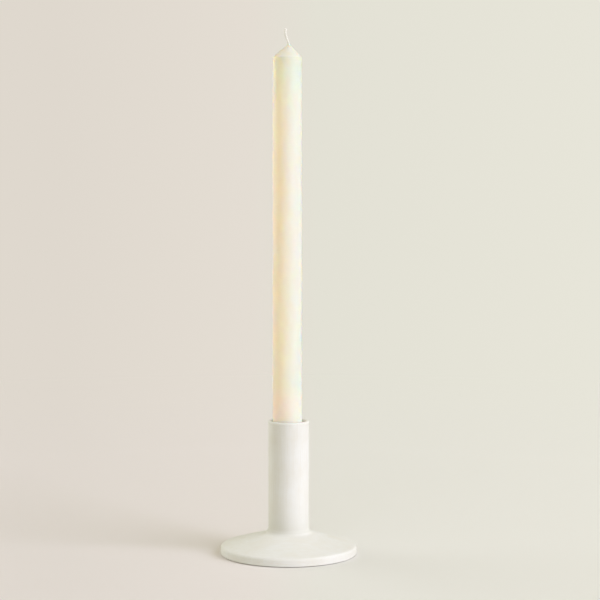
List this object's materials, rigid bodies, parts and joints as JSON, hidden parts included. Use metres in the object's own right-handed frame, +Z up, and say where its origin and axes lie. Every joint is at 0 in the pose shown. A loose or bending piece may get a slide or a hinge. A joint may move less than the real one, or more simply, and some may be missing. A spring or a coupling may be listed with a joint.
{
  "type": "wooden candlestick",
  "caption": "Low turned wooden candlestick: conical disc foot, plain round stem with a lined socket, felt underside, and a slim dinner candle that lifts out.",
  "frame": {"origin": "centre of the foot at table height, on the underside of the felt", "axes": "+Z up along the stem and the candle; X and Y level, with the wick leaning towards -X"},
  "size_m": [0.1012, 0.1012, 0.3891],
  "materials": {
    "painted_wood": "matte chalk-white paint over turned wood",
    "cup_metal": "plain drawn sheet, satin",
    "screw_steel": "yellow zinc plated",
    "felt": "pressed felt",
    "wax": "smooth ivory candle wax, slightly translucent",
    "wick_cotton": "waxed braided cotton"
  },
  "bodies": {
    "candlestick": {"foot": "painted_wood", "stem": "painted_wood", "candle_cup": "cup_metal", "joint_screw": "screw_steel", "felt_pad": "felt"},
    "candle": {"candle": "wax", "wick": "wick_cotton"}
  },
  "joints": [
    {"name": "candle_lift", "type": "slide", "parent": "candlestick", "child": "candle", "axis": [0, 0, 1], "range_m": [0, 0.06]}
  ]
}
